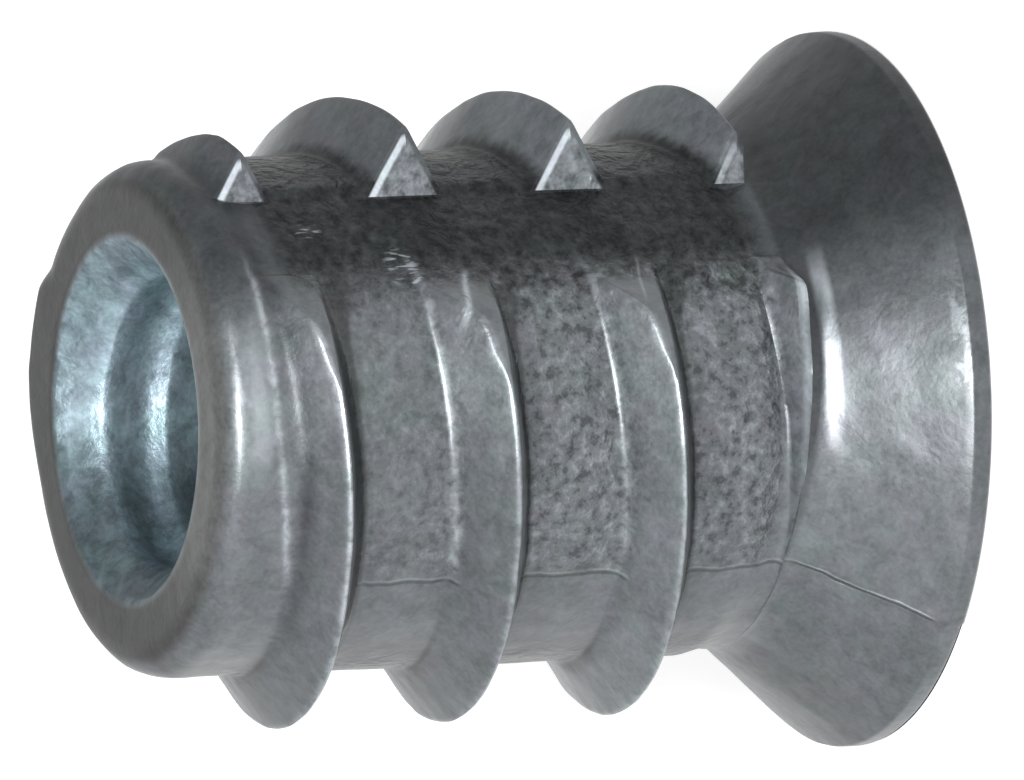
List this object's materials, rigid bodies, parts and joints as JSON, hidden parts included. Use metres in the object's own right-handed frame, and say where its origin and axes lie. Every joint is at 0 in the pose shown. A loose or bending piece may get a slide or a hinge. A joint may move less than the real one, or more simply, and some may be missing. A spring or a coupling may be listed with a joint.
{
  "type": "threaded insert nut for wood",
  "caption": "Wood insert nut: a tube with a coarse outer ridge, a threaded bore, a countersunk head and a hex drive socket.",
  "frame": {"origin": "centre of the head face, on the axis of the bore", "axes": "+Z along the bore from the head face to the pilot end; +X points to the side where the outer ridge crosses at its first full pitch, and the mould's seams lie at 45 degrees to X and Y"},
  "size_m": [0.013, 0.013, 0.014],
  "materials": {
    "zinc": "as-cast zinc alloy, dull grey with a slight sheen"
  },
  "bodies": {
    "root": {"insert_nut": "zinc"}
  },
  "joints": []
}
